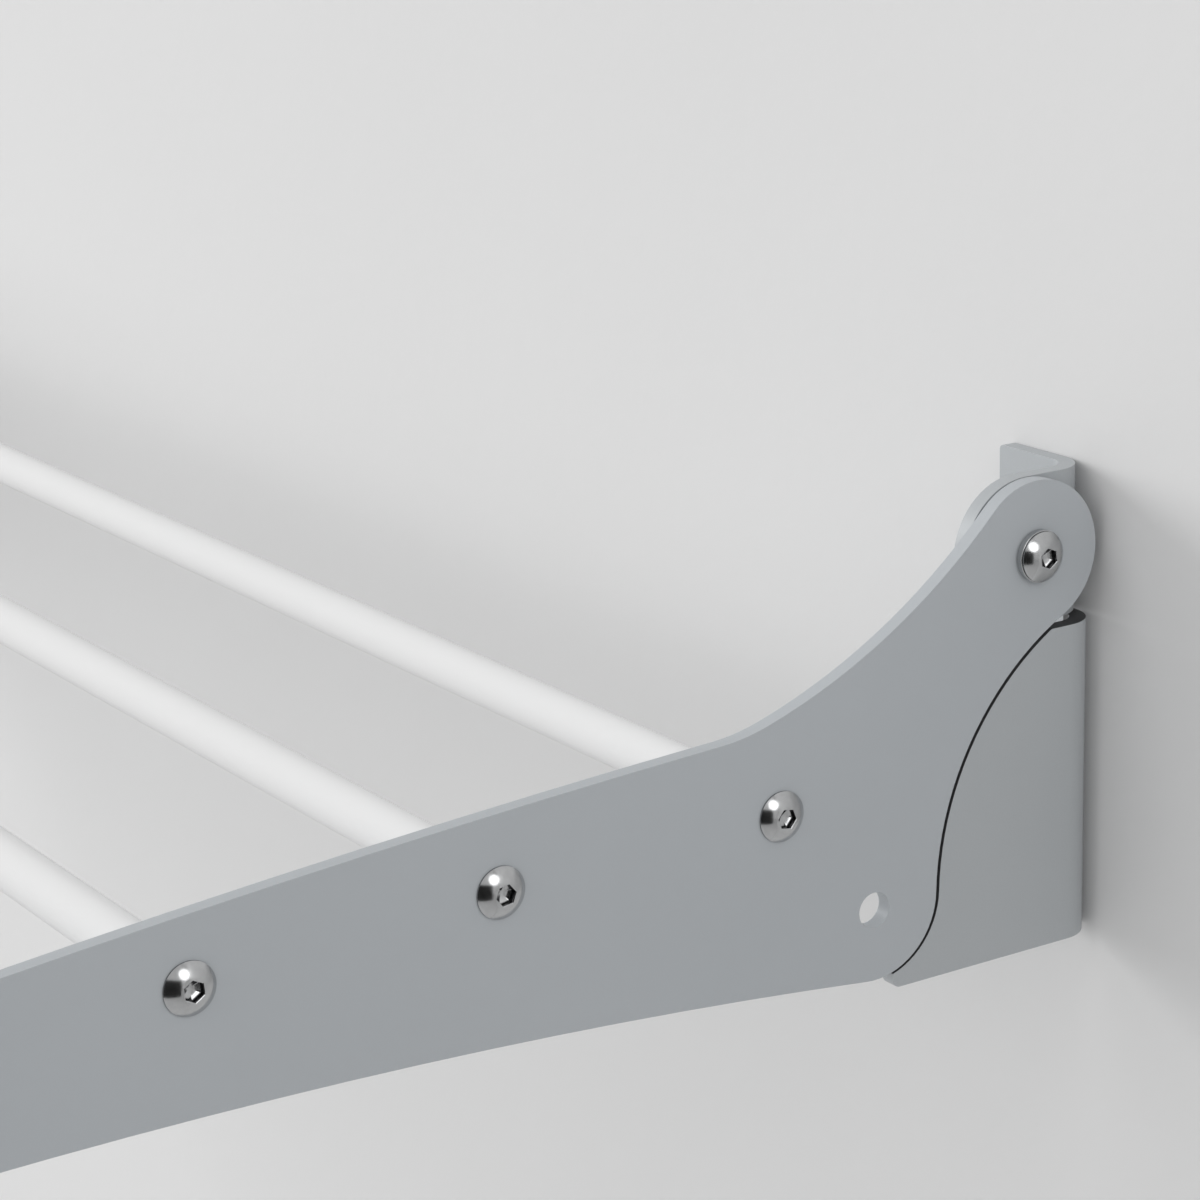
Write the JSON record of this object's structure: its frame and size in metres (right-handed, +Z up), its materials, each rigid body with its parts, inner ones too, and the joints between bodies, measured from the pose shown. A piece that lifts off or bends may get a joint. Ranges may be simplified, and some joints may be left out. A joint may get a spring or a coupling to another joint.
{
  "type": "drying rack",
  "caption": "Wall mounted fold down drying rack: folded steel brackets, a pair of flat curved arms that hinge on them, and round rods across.",
  "frame": {"origin": "on the wall face, midway between the brackets, level with the hinge axis", "axes": "+X along the rods, +Y into the wall so the rack stands out towards -Y, +Z up"},
  "size_m": [0.8086, 0.4202, 0.1017],
  "materials": {
    "arm_paint": "satin grey powder coat with a fine orange peel",
    "bracket_paint": "satin grey powder coat with a fine orange peel",
    "rod_paint": "smooth off-white coat, semi-gloss",
    "stainless": "bright, polished on the domes",
    "nylon": "natural, matt"
  },
  "bodies": {
    "brackets": {"bracket_right": "bracket_paint", "hinge_screw_right": "stainless", "hinge_washer_right": "stainless", "hinge_spacer_right": "nylon", "hinge_nut_right": "stainless", "bracket_left": "bracket_paint", "hinge_screw_left": "stainless", "hinge_washer_left": "stainless", "hinge_spacer_left": "nylon", "hinge_nut_left": "stainless"},
    "rack": {"arm_right": "arm_paint", "hinge_bush_right": "nylon", "arm_left": "arm_paint", "hinge_bush_left": "nylon", "rod_1": "rod_paint", "rod_2": "rod_paint", "rod_3": "rod_paint", "rod_4": "rod_paint", "rod_5": "rod_paint", "rod_6": "rod_paint", "rod_screw_right_1": "stainless", "rod_screw_right_2": "stainless", "rod_screw_right_3": "stainless", "rod_screw_right_4": "stainless", "rod_screw_right_5": "stainless", "rod_screw_right_6": "stainless", "rod_screw_left_1": "stainless", "rod_screw_left_2": "stainless", "rod_screw_left_3": "stainless", "rod_screw_left_4": "stainless", "rod_screw_left_5": "stainless", "rod_screw_left_6": "stainless"}
  },
  "joints": [
    {"name": "rack_fold", "type": "hinge", "parent": "brackets", "child": "rack", "pos_m": [0, -0.018, 0], "axis": [-1, 0, 0], "range_deg": [0, 101.03]}
  ]
}
